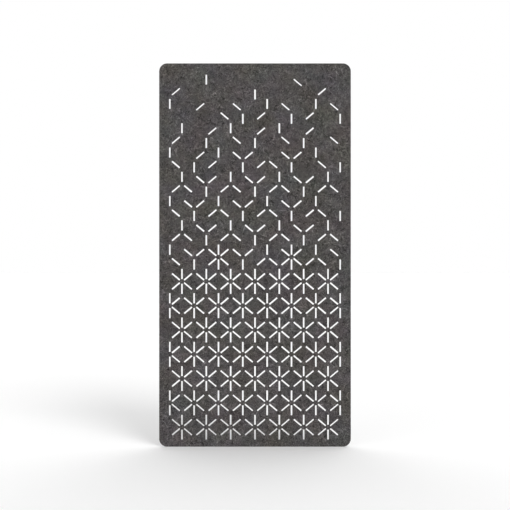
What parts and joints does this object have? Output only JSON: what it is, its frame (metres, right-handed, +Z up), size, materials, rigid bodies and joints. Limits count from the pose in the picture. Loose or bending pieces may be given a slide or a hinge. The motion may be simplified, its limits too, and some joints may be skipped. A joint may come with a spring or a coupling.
{
  "type": "hanging room divider panel",
  "caption": "Tall slotted felt board with round corners that hangs from two threaded sleeves in its top edge, to divide a room and soften its sound.",
  "frame": {"origin": "middle of the board's top edge, halfway between the two hanging sleeves and at half the board's thickness", "axes": "+Z up along the board's height, +X to the right seen from the front, the front faces -Y"},
  "size_m": [1.2, 0.012, 2.4],
  "materials": {
    "felt": "pressed melange felt, charcoal grey, matt",
    "bar_aluminium": "extruded, satin",
    "sleeve_steel": "turned, zinc plated",
    "pin_steel": "ground"
  },
  "bodies": {
    "root": {"felt_panel": "felt", "hanger_bar": "bar_aluminium", "left_hanging_sleeve": "sleeve_steel", "right_hanging_sleeve": "sleeve_steel", "left_cross_pin": "pin_steel", "right_cross_pin": "pin_steel", "left_filler_strip": "felt", "middle_filler_strip": "felt", "right_filler_strip": "felt"}
  },
  "joints": []
}
